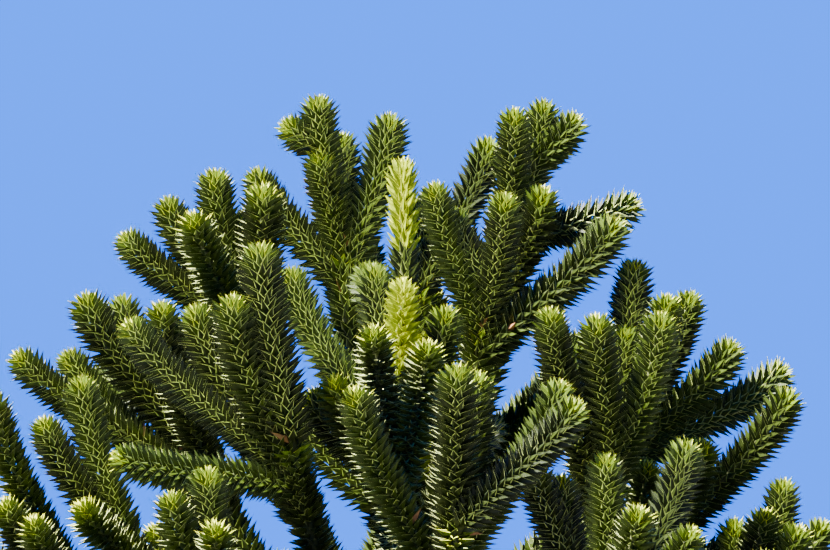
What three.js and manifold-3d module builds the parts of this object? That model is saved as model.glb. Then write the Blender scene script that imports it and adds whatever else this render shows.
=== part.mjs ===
// A monkey puzzle tree about ten years old, rooted in the ground.
// The trunk is a straight taper with a swollen foot. Limbs leave it in rising order, and each limb ends in a
// mass of leaf-clad shoots that turn up at their ends. The upper masses are the ones that show against the
// sky: the crown there is placed shoot by shoot, and its front is repeated at the back, turned about half
// round the trunk. Below them the limbs stand in whorls, as this tree grows one whorl a year.
// Frame: +Z up, +X to the viewer's right, +Y away from the viewer, origin in the flat cut under the trunk.

import * as THREE from "three";
import Module from "manifold-3d";

const wasm = await Module();
wasm.setup();

// Driving sizes, in millimetres and degrees

const TREE_HEIGHT = 3812; // ground to the tips of the highest shoots
const TRUNK_TOP = 3330; // where the trunk ends and the leading shoot stands on it
const TRUNK_FOOT_RADIUS = 82; // above the root flare
const TRUNK_TOP_RADIUS = 19;
const FLARE_RADIUS = 128; // of the swollen foot, at the ground
const FLARE_HEIGHT = 300;
const TRUNK_RINGS = 7;
const TRUNK_SIDES = 16;
const TRUNK_RING_CROWDING = 1.6; // above 1 the rings stand closer together towards the foot
const LEADER_FALL = 130; // how far the leading shoot's tip lies below the highest tips
const LEADER_LEAN = -4; // how far that tip stands to the right

const LIMB_FOOT_SHARE = 0.46; // radius of a limb at the trunk, as a share of the trunk's radius there
const LIMB_RADIUS = 21; // of the closed leaf bases round a limb
const LIMB_LEAF_RADIUS = 31; // how far the leaf points stand from a limb's axis
const LIMB_LEAF_PITCH = 125; // between two collars of leaves on a limb
const LIMB_BARE_LENGTH = 110; // from the trunk's axis to the first collar
const BOUGH_TIP_RADIUS = 22; // of a bare bough of the lowest whorls, where its leaves begin
const BOUGH_SIDES = 8;
const BOUGH_STEPS = 6;

const SHOOT_CORE_RADIUS = 24; // stem and the closed bases of its leaves
const LEAF_TIP_RADIUS = 41; // how far the points of the leaves stand from the shoot's axis
const SHOOT_END_SHARE = 0.74; // of those radii, at a shoot's blunt end
const LEAF_RANK_PITCH = 86; // between two collars of leaves
const LEAF_POINTS = 2; // in one collar: each stands for a cluster of leaves
const LEAF_SLANT = 0.62; // share of the pitch by which a leaf's point stands above its root
const SHOOT_ROOT_SHARE = 0.55; // of the core radius, where a shoot is sunk in its limb
const SHOOT_NECK = 105; // from a side shoot's root to its first collar
const BLUNT_END = 30; // between a shoot's last collar and its very end

const SEAT_GAP = 0.3; // clear of what a piece stands on
const SHOOT_CLEARANCE = 6; // between shoots of different masses
const SIBLING_CLEARANCE = -52; // below 0: shoots of one mass may lie this deep in each other
const FORK_ZONE = 200; // near its fork a shoot may touch its siblings
const GAP_ZONE = 60; // a shoot may start in a gap of the crown
const GAP_MARGIN = 12;
const COPY_SWINGS = [0, 10, -10, 20, -20, 30, -30]; // degrees by which a copied shoot may swing aside
const SAMPLE_STEP = 30; // between the points at which two shoots are compared
const UPPER_LIMB_RISE = 30; // degrees above level at which a limb of the upper crown leaves the trunk
const WHORL_LIMB_RISE = 8;
const UPTURN = 17; // how much steeper a limb or a shoot of the upper crown grows by its end
const LEAVE_SHARE = 0.3; // how much a shoot first follows its limb, against its own course
const UPPER_STAGGER = 0.11; // share of the limb between the feet of two pairs of shoots

const LEAF_GREEN = 0x3f5a22;
const NEW_LEAF_GREEN = 0x9bb03c;
const BARK_BROWN = 0x6b5d50;

// The upper masses. foot: where the limb leaves the trunk. fork: where its shoots part, as right, back, up.
// shoots: how far each leans to the right and to the back, in degrees from upright, and its length.
// turned: by how many degrees round the trunk a copy of the mass stands.
const UPPER_MASSES = [
  { name: "top_left", foot: 3130, fork: [-120, 60, 3480],
    shoots: [[-8.2, 0, 326], [17, 8, 306], [-41.8, 10, 254], [-0.6, 24, 293]] },
  { name: "top_centre", foot: 3070, fork: [25, 110, 3420],
    shoots: [[22.7, 12, 352], [2, 17, 215]] },
  { name: "top_right", foot: 3010, fork: [190, 90, 3515],
    shoots: [[69.5, 8, 270], [4, -7, 268], [14.3, 9, 303], [31, -25, 142]] },
  { name: "left", foot: 2990, fork: [-312, 30, 3393],
    shoots: [[-11, -3, 268], [-34, 2, 256], [-57, 0, 268], [10, -22, 244], [-24, -33, 222]] },
  { name: "inner_right", foot: 2930, fork: [140, -150, 3320],
    shoots: [[-16, -4, 305], [10, -6, 275], [49.5, -5, 340]] },
  { name: "inner_centre", foot: 2810, fork: [-25, -300, 3110], turned: 180,
    shoots: [[-5, 12, 348], [-28, 20, 408], [4, -6, 308], [22, 4, 275], [-8, -30, 240], [18, -32, 220],
      [-42, -8, 165]] },
  { name: "right", foot: 2740, fork: [420, 60, 3140],
    shoots: [[23, 2, 317], [47, 0, 281], [62.5, 20, 345], [3, 12, 366], [15, -20, 300]] },
  { name: "left_low", foot: 2640, fork: [-390, 50, 3110],
    shoots: [[-35.5, -2, 380], [-60, -6, 405], [-25, 16, 365], [-49, 20, 342], [-13, -20, 315]] },
  { name: "front_right", foot: 2590, fork: [385, -250, 3030], turned: 180,
    shoots: [[-5, -6, 322], [-19, -7, 352], [16, -2, 338], [5, 17, 325]] },
  { name: "front_left", foot: 2540, fork: [-205, -350, 3090], turned: 195,
    shoots: [[-9.6, 0, 385], [-51.2, 8.1, 399], [-90.6, 0.7, 333], [-33.5, 13, 336], [-22.4, -5.1, 305]] },
  { name: "right_low", foot: 2490, fork: [475, 20, 2930],
    shoots: [[40, -5, 398], [23.4, -18.4, 234], [74, 35, 260], [-5, -41, 213]] },
  { name: "left_lower", foot: 2450, fork: [-520, -130, 2940],
    shoots: [[-16, 2, 320], [-35, -4, 281], [-42.6, -47, 130]] },
  { name: "front_centre", foot: 2400, fork: [92, -560, 2920], turned: 180,
    shoots: [[42.4, 0, 333], [0.6, -6, 305], [33.5, 12, 352], [-34.4, -2, 324], [7, 13, 313]] },
  { name: "front_right_low", foot: 2320, fork: [365, -540, 2740], turned: 180,
    shoots: [[0.5, -4, 325], [14.5, -20, 245], [-14, 18, 322], [40, -4, 252], [20.6, 29.7, 453]] },
  { name: "front_left_low", foot: 2280, fork: [-330, -500, 2740], turned: 180,
    shoots: [[-6, -2, 305], [-20.5, -12, 280], [-4, -36, 240]] },
  { name: "right_edge", foot: 2240, fork: [640, -60, 2780],
    shoots: [[15, 6, 295], [36.5, -4, 252], [-5, -4, 205], [26, -26, 228], [9, -18, 232]] },
  { name: "left_edge", foot: 2200, fork: [-598, 0, 2810],
    shoots: [[-23.3, -14, 460], [-53, 10, 330], [-33.5, -28, 284], [-24.5, -40, 248]] },
];

// Where the sky shows through the crown, seen from the front, in the plane of the trunk's axis: right, up,
// half width, half height. The turned copies at the back keep out of these.
const EYE = new THREE.Vector3(19, -15912, 1785); // where the crown is seen from
const SKY_GAPS = [
  [-200, 3495, 30, 15], [-160, 3300, 15, 25], [125, 3515, 15, 25], [240, 3450, 45, 30], [235, 3295, 40, 55],
  [-315, 3230, 70, 35], [-315, 3120, 50, 25], [-515, 3050, 35, 55], [-280, 2970, 40, 40],
  [-110, 3000, 40, 70], [205, 2990, 50, 50], [300, 3115, 15, 15], [650, 3050, 65, 40], [335, 3420, 25, 20],
  [590, 3355, 20, 25],
];

// The whorls below. foot: where the boughs leave the trunk. reach and tip: how far out and how high their
// ends stand. fork: share of the reach at which a bough ends in its first shoot. bare: share of the bough
// without leaves.
const WHORLS = [
  { name: "whorl_5", foot: 2090, reach: 1010, tip: 2710, count: 5, first: 20, fork: 0.62 },
  { name: "whorl_4", foot: 1740, reach: 1110, tip: 2290, count: 5, first: 56, fork: 0.6 },
  { name: "whorl_3", foot: 1390, reach: 1140, tip: 1860, count: 5, first: 12, fork: 0.6 },
  { name: "whorl_2", foot: 1080, reach: 1060, tip: 1420, count: 5, first: 48, fork: 0.6, bare: 0.45 },
  { name: "whorl_1", foot: 820, reach: 880, tip: 1010, count: 4, first: 15, fork: 0.58, bare: 0.45 },
];
const WHORL_SHOOTS = 5; // of one bough: the first at its end and the rest in pairs behind
const BEARING_JITTER = 5; // degrees by which a bough may stand off its place in the whorl
const REACH_JITTER = 0.05; // share by which a bough may be shorter
const FOOT_JITTER = 20; // how far a bough's foot may stand off its whorl's height
const TIP_JITTER = 35;
const SPREAD_JITTER = 4; // degrees
const RISE_JITTER = 7; // degrees
const WHORL_SAG = 60; // how far a whorl's fork lies below the straight line to its tip
const FIRST_PAIR_SHARE = 0.93; // of the bough's length, where its first pair stands
const WHORL_STAGGER = 0.21; // share of the bough between the feet of two pairs
const PAIR_SPREAD = 40; // degrees between a bough's heading and that of its first pair
const NEXT_PAIR_SPREAD = 7; // degrees by which each further pair spreads more
const PAIR_RISE = 31; // degrees above level, on average
const WHORL_UPTURN = 36; // how much steeper a shoot of a whorl grows by its end
const PAIR_LENGTH = 0.86; // of a pair, as a share of the one before it

const UP = new THREE.Vector3(0, 0, 1);
const ASLANT = new THREE.Vector3(0.31, 0.2, 0.93); // not in line with any limb, so it can turn the first ring
const radians = THREE.MathUtils.degToRad;

// A number from -1 to 1 that is the same each time for the same piece and purpose.
function chance(piece, purpose) {
  const wave = Math.sin(piece * 12.9898 + purpose * 78.233) * 43758.5453;
  return 2 * (wave - Math.floor(wave)) - 1;
}

// A unit vector that leans so far from upright to the right and to the back.
function leaning(right, back) {
  const side = Math.sin(radians(right));
  const rest = Math.cos(radians(right));
  return new THREE.Vector3(side, rest * Math.sin(radians(back)), rest * Math.cos(radians(back)));
}

// A unit vector with a compass heading round the trunk, counted from the right, and a rise.
function heading(bearing, rise) {
  const level = Math.cos(radians(rise));
  return new THREE.Vector3(
    level * Math.cos(radians(bearing)), level * Math.sin(radians(bearing)), Math.sin(radians(rise)));
}

// The same direction, turned towards upright by so many degrees and no further.
function liftedBy(direction, degrees) {
  const fromUpright = THREE.MathUtils.radToDeg(direction.angleTo(UP));
  const share = Math.min(degrees / Math.max(fromUpright, 1), 0.8);
  const axis = new THREE.Vector3().crossVectors(direction, UP).normalize();
  return direction.clone().applyAxisAngle(axis, radians(fromUpright * share));
}

// A smooth curve that leaves one point in one direction and reaches another point in another direction.
function bend(from, leave, to, arrive) {
  const third = from.distanceTo(to) / 3;
  return new THREE.CubicBezierCurve3(
    from, from.clone().addScaledVector(leave, third), to.clone().addScaledVector(arrive, -third), to);
}

// The limb of a mass: from the trunk's axis, out and then up to its fork.
function limbCurve(foot, fork, rise) {
  const out = new THREE.Vector3(fork.x, fork.y, 0).normalize();
  const leave = out.multiplyScalar(Math.cos(radians(rise))).addScaledVector(UP, Math.sin(radians(rise)));
  const chord = fork.clone().sub(foot).normalize();
  return bend(foot, leave, fork, liftedBy(chord, UPTURN));
}

// A shoot that leaves its limb at a share of its length, reaches its place and has turned up by then.
function shootFrom(limb, share, tip, upturn) {
  const from = limb.getPoint(share);
  const course = tip.clone().sub(from).normalize();
  const leave = limb.getTangent(share).multiplyScalar(LEAVE_SHARE).add(course).normalize();
  return { share, curve: bend(from, leave, tip, liftedBy(course, upturn)) };
}

// Points at even steps along a curve, for comparing shoots.
function samples(curve, radius) {
  const count = Math.max(2, Math.round(curve.getLength() / SAMPLE_STEP));
  return { points: curve.getPoints(count), radius };
}

// True if two sampled shoots come nearer than the clearance. The first points of one may be left out.
function meet(one, other, clearance, leftOut = 0) {
  const nearest = one.radius + other.radius + clearance;
  return one.points.some((p) => p.distanceTo(one.points[0]) >= leftOut &&
    other.points.some((q) => p.distanceTo(q) < nearest));
}

// True if a sampled shoot shows in a gap of the crown, past its first stretch.
function showsInGap({ points }) {
  const seen = points.filter((p) => p.distanceTo(points[0]) >= GAP_ZONE).map((p) =>
    EYE.clone().lerp(p, -EYE.y / (p.y - EYE.y)));
  return seen.some(({ x, z }) => SKY_GAPS.some(([right, up, wide, high]) =>
    ((x - right) / (wide + GAP_MARGIN)) ** 2 + ((z - up) / (high + GAP_MARGIN)) ** 2 < 1));
}

// Where a shoot leaves its limb: the first at the limb's end, the others in pairs below it.
function shareOf(order, firstPair, stagger) {
  return order ? firstPair - stagger * (Math.ceil(order / 2) - 1) : 1;
}

// The limbs and wanted shoots of the upper crown, the turned copies at the back among them.
function upperMasses() {
  const masses = [];
  for (const row of UPPER_MASSES) {
    for (const turn of row.turned ? [0, row.turned] : [0]) {
      const turned = (vector) => vector.applyAxisAngle(UP, radians(turn));
      const fork = turned(new THREE.Vector3(...row.fork));
      const limb = limbCurve(new THREE.Vector3(0, 0, row.foot), fork, UPPER_LIMB_RISE);
      const swings = turn ? COPY_SWINGS : [0];
      const tips = row.shoots.map(([right, back, length]) => swings.map((swing) =>
        fork.clone().addScaledVector(turned(leaning(right + swing, back)), length)));
      const name = turn ? row.name.replace("inner", "inner_back").replace("front", "back") : row.name;
      const shares = tips.map((_, order) => shareOf(order, 1 - UPPER_STAGGER, UPPER_STAGGER));
      masses.push({ name, limb, tips, shares, upturn: UPTURN, bare: 0, copy: turn > 0 });
    }
  }
  return masses;
}

// The limbs and wanted shoots of the whorls. A bough carries its shoots as a frond does, in level pairs.
function whorlMasses() {
  const masses = [];
  let piece = 0;
  for (const whorl of WHORLS) {
    for (let i = 0; i < whorl.count; i++) {
      piece += 1;
      const bearing = whorl.first + (360 * i) / whorl.count + BEARING_JITTER * chance(piece, 1);
      const reach = whorl.reach * (1 + REACH_JITTER * (chance(piece, 2) - 1) / 2);
      const foot = new THREE.Vector3(0, 0, whorl.foot + FOOT_JITTER * chance(piece, 3));
      const end = heading(bearing, 0).multiplyScalar(reach).setZ(whorl.tip + TIP_JITTER * chance(piece, 4));
      const fork = foot.clone().lerp(end, whorl.fork);
      fork.z -= WHORL_SAG;
      const limb = limbCurve(foot, fork, WHORL_LIMB_RISE);
      const tips = [[end]];
      const shares = [1];
      for (let order = 1; order < WHORL_SHOOTS; order++) {
        const pair = Math.ceil(order / 2);
        const side = order % 2 ? 1 : -1;
        const spread =
          PAIR_SPREAD + NEXT_PAIR_SPREAD * (pair - 1) + SPREAD_JITTER * chance(piece, 20 + order);
        const rise = PAIR_RISE + RISE_JITTER * chance(piece, 10 + order);
        const length = fork.distanceTo(end) * PAIR_LENGTH ** pair;
        shares.push(shareOf(order, FIRST_PAIR_SHARE, WHORL_STAGGER));
        const from = limb.getPoint(shares[order]);
        tips.push([from.addScaledVector(heading(bearing + side * spread, rise), length)]);
      }
      const name = `${whorl.name}_${"abcde"[i]}`;
      masses.push({ name, limb, tips, shares, upturn: WHORL_UPTURN, bare: whorl.bare ?? 0 });
    }
  }
  return masses;
}

// Picks the shoots of every mass that stay clear of the other masses and of their own siblings. Where a shoot
// may swing aside, the first place that is clear is taken.
function clearShoots(masses, leader) {
  for (const mass of masses) mass.shoots = [];
  const leaderClaim = samples(leader, LEAF_TIP_RADIUS);
  const claims = masses.map((mass) => [samples(mass.limb, LIMB_LEAF_RADIUS)]);
  masses.forEach((mass, at) => {
    const strangers = () => [leaderClaim, ...claims.filter((_, other) => other !== at).flat()];
    const siblings = () => claims[at].slice(1);
    const clear = (claim) => !strangers().some((other) => meet(claim, other, SHOOT_CLEARANCE)) &&
      !siblings().some((other) => meet(claim, other, SIBLING_CLEARANCE, FORK_ZONE)) &&
      !(mass.copy && showsInGap(claim));
    mass.tips.forEach((places, order) => {
      const shoots = places.map((tip) => shootFrom(mass.limb, mass.shares[order], tip, mass.upturn));
      const shoot = shoots.find(({ curve }) => clear(samples(curve, LEAF_TIP_RADIUS)));
      if (!shoot) return;
      claims[at].push(samples(shoot.curve, LEAF_TIP_RADIUS));
      mass.shoots.push(shoot);
    });
  });
}

// Cross sections along curves: at each share of a curve's length a ring of points. Every other point may
// stand out further than the rest and further along the curve: those are the leaf points of a collar.
function rings(sides, sections) {
  const tangents = sections.map(({ curve, at }) => curve.getTangent(at));
  let across = new THREE.Vector3().crossVectors(tangents[0], ASLANT).normalize();
  return sections.map(({ curve, at, radius, pointRadius = radius, lift = 0 }, i) => {
    across = across.clone().addScaledVector(tangents[i], -across.dot(tangents[i])).normalize();
    const side = new THREE.Vector3().crossVectors(tangents[i], across);
    return Array.from({ length: sides }, (_, k) => {
      const pointed = (k + i) % 2 === 1;
      const reach = pointed ? pointRadius : radius;
      const angle = (2 * Math.PI * k) / sides;
      return curve.getPoint(Math.min(1, pointed ? at + lift : at))
        .addScaledVector(across, reach * Math.cos(angle)).addScaledVector(side, reach * Math.sin(angle));
    });
  });
}

// A closed solid through rings of points, with a flat first end and a point or a flat last end.
function skinned(sections, point) {
  const sides = sections[0].length;
  const vertices = sections.flat();
  const faces = [];
  for (let i = 0; i + 1 < sections.length; i++) {
    for (let k = 0; k < sides; k++) {
      const [a, b] = [i * sides + k, i * sides + ((k + 1) % sides)];
      const [c, d] = [b + sides, a + sides];
      if ((i + k) % 2) faces.push(a, b, d, b, c, d);
      else faces.push(a, b, c, a, c, d);
    }
  }
  const last = (sections.length - 1) * sides;
  for (let k = 1; k + 1 < sides; k++) faces.push(0, k + 1, k);
  if (point) {
    vertices.push(point);
    for (let k = 0; k < sides; k++) faces.push(last + k, last + ((k + 1) % sides), vertices.length - 1);
  } else {
    for (let k = 1; k + 1 < sides; k++) faces.push(last, last + k, last + k + 1);
  }
  return solidOf(vertices.flatMap((v) => v.toArray()), faces);
}

function solidOf(positions, faces) {
  return new wasm.Manifold(new wasm.Mesh({
    numProp: 3, vertProperties: new Float32Array(positions), triVerts: new Uint32Array(faces) }));
}

// The main body of a solid, without scraps cut loose from it and without hollows enclosed in it.
function mainBody(solid) {
  return solid.decompose().reduce((best, body) => (body.volume() > best.volume() ? body : best));
}

function geometryOf(solid) {
  const { vertProperties, triVerts } = solid.getMesh();
  const geometry = new THREE.BufferGeometry();
  geometry.setAttribute("position", new THREE.BufferAttribute(Float32Array.from(vertProperties), 3));
  geometry.setIndex(new THREE.BufferAttribute(Uint32Array.from(triVerts), 1));
  geometry.computeVertexNormals();
  return geometry;
}

// A bare bough from the trunk's axis to the share of its curve where its leaves begin.
function bareBough(curve, share, footRadius) {
  const sections = [];
  for (let i = 0; i <= BOUGH_STEPS; i++) {
    const radius = THREE.MathUtils.lerp(footRadius, BOUGH_TIP_RADIUS, i / BOUGH_STEPS);
    sections.push({ curve, at: (share * i) / BOUGH_STEPS, radius });
  }
  return skinned(rings(BOUGH_SIDES, sections));
}

// Collars of leaves at even steps between two shares of a curve, smaller towards the far one if so asked.
function collars(curve, from, to, pitch, radius, pointRadius, endSize) {
  const steps = Math.max(1, Math.round((to - from) * curve.getLength() / pitch));
  const lift = LEAF_SLANT * (to - from) / steps;
  return Array.from({ length: steps + 1 }, (_, i) => {
    const size = THREE.MathUtils.lerp(1, endSize, (i / steps) ** 2);
    const at = THREE.MathUtils.lerp(from, to, i / steps);
    return { curve, at, radius: radius * size, pointRadius: pointRadius * size, lift };
  });
}

// The collars of a shoot from its neck to its blunt end.
function shootCollars(curve, neck) {
  const length = curve.getLength();
  return collars(curve, neck / length, 1 - BLUNT_END / length,
    LEAF_RANK_PITCH, SHOOT_CORE_RADIUS, LEAF_TIP_RADIUS, SHOOT_END_SHARE);
}

// A leaf-clad limb from a share of its curve to the first shoot, and that shoot as its end.
function leafyLimb(limb, from, footRadius, { curve, share }) {
  const start = from > 0 ? from : LIMB_BARE_LENGTH / limb.getLength();
  const foot = [{ curve: limb, at: from, radius: footRadius }];
  if (from === 0) foot.push({ curve: limb, at: start, radius: footRadius });
  const along = collars(limb, start, share, LIMB_LEAF_PITCH, LIMB_RADIUS, LIMB_LEAF_RADIUS, 1).slice(1, -1);
  return skinned(rings(2 * LEAF_POINTS, [...foot, ...along, ...shootCollars(curve, 0)]), curve.getPoint(1));
}

// A leaf-clad side shoot, narrow where it is sunk in its limb and blunt at its end.
function leafyShoot(curve, neck) {
  const root = { curve, at: 0, radius: SHOOT_CORE_RADIUS * SHOOT_ROOT_SHARE };
  return skinned(rings(2 * LEAF_POINTS, [root, ...shootCollars(curve, neck)]), curve.getPoint(1));
}

// The trunk's outline from the flat cut to its tip, with the swollen foot, grown by a margin.
function trunkSolid(margin) {
  const profile = [new THREE.Vector2(0, -margin)];
  for (let i = 0; i <= TRUNK_RINGS; i++) {
    const height = TRUNK_TOP * (i / TRUNK_RINGS) ** TRUNK_RING_CROWDING;
    profile.push(new THREE.Vector2(trunkRadius(height) + margin, i ? height : -margin));
  }
  profile[profile.length - 1].y += margin;
  profile.push(new THREE.Vector2(0, TRUNK_TOP + margin));
  const lathe = new THREE.LatheGeometry(profile, TRUNK_SIDES).rotateX(Math.PI / 2);
  return mergedSolid(lathe);
}

function trunkRadius(height) {
  const taper = THREE.MathUtils.lerp(TRUNK_FOOT_RADIUS, TRUNK_TOP_RADIUS, height / TRUNK_TOP);
  const flare = Math.max(0, 1 - height / FLARE_HEIGHT) ** 2;
  return taper + (FLARE_RADIUS - TRUNK_FOOT_RADIUS) * flare;
}

// A three.js geometry as a solid, with its doubled seam and pole vertices joined by place.
function mergedSolid(geometry) {
  const position = geometry.getAttribute("position");
  const found = new Map();
  const positions = [];
  const joined = [];
  for (let i = 0; i < position.count; i++) {
    const place = new THREE.Vector3().fromBufferAttribute(position, i);
    const key = place.toArray().map((x) => Math.round(x * 1000)).join();
    if (!found.has(key)) {
      found.set(key, positions.length / 3);
      positions.push(...place.toArray());
    }
    joined.push(found.get(key));
  }
  const faces = [];
  for (let i = 0; i < geometry.index.count; i += 3) {
    const [a, b, c] = [0, 1, 2].map((k) => joined[geometry.index.getX(i + k)]);
    if (a !== b && b !== c && a !== c) faces.push(a, b, c);
  }
  return solidOf(positions, faces);
}

const bark = new THREE.MeshStandardMaterial({ color: BARK_BROWN, roughness: 0.9, metalness: 0 });
const leaves = new THREE.MeshStandardMaterial({ color: LEAF_GREEN, roughness: 0.5, metalness: 0 });
const newLeaves = new THREE.MeshStandardMaterial({ color: NEW_LEAF_GREEN, roughness: 0.5, metalness: 0 });

const tree = new THREE.Group();

function place(name, solid, material) {
  const mesh = new THREE.Mesh(geometryOf(solid), material);
  mesh.name = name;
  tree.add(mesh);
}

// The leading shoot: upright on the trunk's tip, in this year's pale green.
function leaderCurve() {
  const foot = new THREE.Vector3(0, 0, TRUNK_TOP + SEAT_GAP);
  const tip = new THREE.Vector3(LEADER_LEAN, 0, TREE_HEIGHT - LEADER_FALL);
  return new THREE.LineCurve3(foot, tip);
}

const masses = [...upperMasses(), ...whorlMasses()];
const leader = leaderCurve();
clearShoots(masses, leader);
const trunk = trunkSolid(0);
const trunkWithGap = trunkSolid(SEAT_GAP);

place("trunk", trunk, bark);
place("leader", leafyShoot(leader, LEAF_RANK_PITCH / 2), newLeaves);
for (const mass of masses) {
  const seam = mass.bare;
  const footRadius = LIMB_FOOT_SHARE * trunkRadius(mass.limb.getPoint(0).z);
  if (seam > 0) {
    place(`${mass.name}_bough`, bareBough(mass.limb, seam, footRadius).subtract(trunkWithGap), bark);
  }
  const from = seam > 0 ? seam + SEAT_GAP / mass.limb.getLength() : 0;
  const [first, ...sideShoots] = mass.shoots;
  let solid = leafyLimb(mass.limb, from, seam > 0 ? BOUGH_TIP_RADIUS : footRadius, first);
  for (const { curve } of sideShoots) solid = solid.add(leafyShoot(curve, SHOOT_NECK));
  place(mass.name, mainBody(solid.subtract(trunkWithGap)), leaves);
}

export default tree;
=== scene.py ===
# A monkey puzzle tree dressed with its bark, twigs and leaves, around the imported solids.
# Lengths are in millimetres, as in the part's source, until a mesh is made of them.
# Frame: +Z up, +X to the viewer's right, +Y away from the viewer, origin in the flat cut under the trunk.

import math

import bpy
import numpy as np
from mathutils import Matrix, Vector


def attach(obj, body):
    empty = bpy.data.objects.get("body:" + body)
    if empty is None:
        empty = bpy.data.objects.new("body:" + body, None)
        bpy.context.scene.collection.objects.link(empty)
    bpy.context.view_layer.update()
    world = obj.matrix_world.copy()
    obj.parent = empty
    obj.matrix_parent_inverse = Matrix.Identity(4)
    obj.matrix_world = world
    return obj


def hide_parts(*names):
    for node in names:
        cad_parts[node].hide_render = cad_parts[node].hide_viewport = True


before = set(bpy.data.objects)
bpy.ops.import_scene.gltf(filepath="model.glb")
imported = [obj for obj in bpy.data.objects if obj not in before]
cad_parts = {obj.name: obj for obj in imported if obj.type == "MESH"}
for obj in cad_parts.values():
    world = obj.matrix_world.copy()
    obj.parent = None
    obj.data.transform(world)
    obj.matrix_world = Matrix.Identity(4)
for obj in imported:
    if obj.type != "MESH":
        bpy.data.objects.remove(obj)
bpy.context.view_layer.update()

METRES = 0.001
UP = np.array([0.0, 0.0, 1.0])
ASLANT = np.array([0.31, 0.2, 0.93])  # sets where the turn round a curve is counted from

# Camera: it looks up at the crown from the front.
PICTURE_WIDTH = 830  # pixels
CAMERA_TARGET = np.array([19.0, 0.0, 3458.0])
CAMERA_DISTANCE = 16000.0
CAMERA_RISE = 6.0  # degrees above level
CAMERA_FOCUS = 8421.0  # focal length, in pixels
CAMERA_REACH = 500.0  # metres
SENSOR = 36.0

# Trunk and limbs, as in the source.
TREE_HEIGHT = 3812.0
TRUNK_TOP = 3330.0
TRUNK_FOOT_RADIUS = 82.0  # without the flare
TRUNK_TOP_RADIUS = 19.0
FLARE_RADIUS = 128.0
FLARE_HEIGHT = 300.0
LEADER_FALL = 130.0  # of the leader's tip below the top of the tree
LEADER_LEAN = -4.0  # of its tip to the right
LIMB_FOOT_SHARE = 0.46  # a limb's radius at its foot, as a share of the trunk's there
LIMB_LEAF_RADIUS = 31.0  # of a limb over its leaves
BOUGH_TIP_RADIUS = 22.0
LEAF_TIP_RADIUS = 41.0  # of a shoot over its leaves
SHOOT_CLEARANCE = 6.0  # between the leaves of two masses
SIBLING_CLEARANCE = -52.0  # between shoots of one mass, which may cross by so much
FORK_ZONE = 200.0  # length of a shoot from its foot that siblings share
SAMPLE_STEP = 30.0
UPPER_LIMB_RISE = 30.0  # degrees above level at the trunk
WHORL_LIMB_RISE = 8.0
UPTURN = 17.0  # degrees by which the end of a limb or shoot turns up
LIFT_LIMIT = 0.8  # of the way to upright, which no end turns past
LEAVE_SHARE = 0.3  # of the limb's direction in the direction that a shoot starts in
UPPER_STAGGER = 0.11  # share of the limb between one pair of shoots and the next
GAP_ZONE = 60.0  # length of a copied shoot from its foot that may show in a gap
GAP_MARGIN = 12.0
COPY_SWINGS = (0, 10, -10, 20, -20, 30, -30)  # degrees that a copied shoot is turned by until it is clear

# The upper masses: name, height of the limb's foot, fork, by how many degrees a copy stands round the trunk
# (0 for no copy), and the shoots (lean right, lean back, length).
UPPER_MASSES = [
    ("top_left", 3130, (-120, 60, 3480), 0,
     [(-8.2, 0, 326), (17, 8, 306), (-41.8, 10, 254), (-0.6, 24, 293)]),
    ("top_centre", 3070, (25, 110, 3420), 0,
     [(22.7, 12, 352), (2, 17, 215)]),
    ("top_right", 3010, (190, 90, 3515), 0,
     [(69.5, 8, 270), (4, -7, 268), (14.3, 9, 303), (31, -25, 142)]),
    ("left", 2990, (-312, 30, 3393), 0,
     [(-11, -3, 268), (-34, 2, 256), (-57, 0, 268), (10, -22, 244), (-24, -33, 222)]),
    ("inner_right", 2930, (140, -150, 3320), 0,
     [(-16, -4, 305), (10, -6, 275), (49.5, -5, 340)]),
    ("inner_centre", 2810, (-25, -300, 3110), 180,
     [(-5, 12, 348), (-28, 20, 408), (4, -6, 308), (22, 4, 275), (-8, -30, 240), (18, -32, 220),
      (-42, -8, 165)]),
    ("right", 2740, (420, 60, 3140), 0,
     [(23, 2, 317), (47, 0, 281), (62.5, 20, 345), (3, 12, 366), (15, -20, 300)]),
    ("left_low", 2640, (-390, 50, 3110), 0,
     [(-35.5, -2, 380), (-60, -6, 405), (-25, 16, 365), (-49, 20, 342), (-13, -20, 315)]),
    ("front_right", 2590, (385, -250, 3030), 180,
     [(-5, -6, 322), (-19, -7, 352), (16, -2, 338), (5, 17, 325)]),
    ("front_left", 2540, (-205, -350, 3090), 195,
     [(-9.6, 0, 385), (-51.2, 8.1, 399), (-90.6, 0.7, 333), (-33.5, 13, 336), (-22.4, -5.1, 305)]),
    ("right_low", 2490, (475, 20, 2930), 0,
     [(40, -5, 398), (23.4, -18.4, 234), (74, 35, 260), (-5, -41, 213)]),
    ("left_lower", 2450, (-520, -130, 2940), 0,
     [(-16, 2, 320), (-35, -4, 281), (-42.6, -47, 130)]),
    ("front_centre", 2400, (92, -560, 2920), 180,
     [(42.4, 0, 333), (0.6, -6, 305), (33.5, 12, 352), (-34.4, -2, 324), (7, 13, 313)]),
    ("front_right_low", 2320, (365, -540, 2740), 180,
     [(0.5, -4, 325), (14.5, -20, 245), (-14, 18, 322), (40, -4, 252), (20.6, 29.7, 453)]),
    ("front_left_low", 2280, (-330, -500, 2740), 180,
     [(-6, -2, 305), (-20.5, -12, 280), (-4, -36, 240)]),
    ("right_edge", 2240, (640, -60, 2780), 0,
     [(15, 6, 295), (36.5, -4, 252), (-5, -4, 205), (26, -26, 228), (9, -18, 232)]),
    ("left_edge", 2200, (-598, 0, 2810), 0,
     [(-23.3, -14, 460), (-53, 10, 330), (-33.5, -28, 284), (-24.5, -40, 248)]),
]

EYE = np.array([19.0, -15912.0, 1785.0])  # where the crown is seen from
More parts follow.
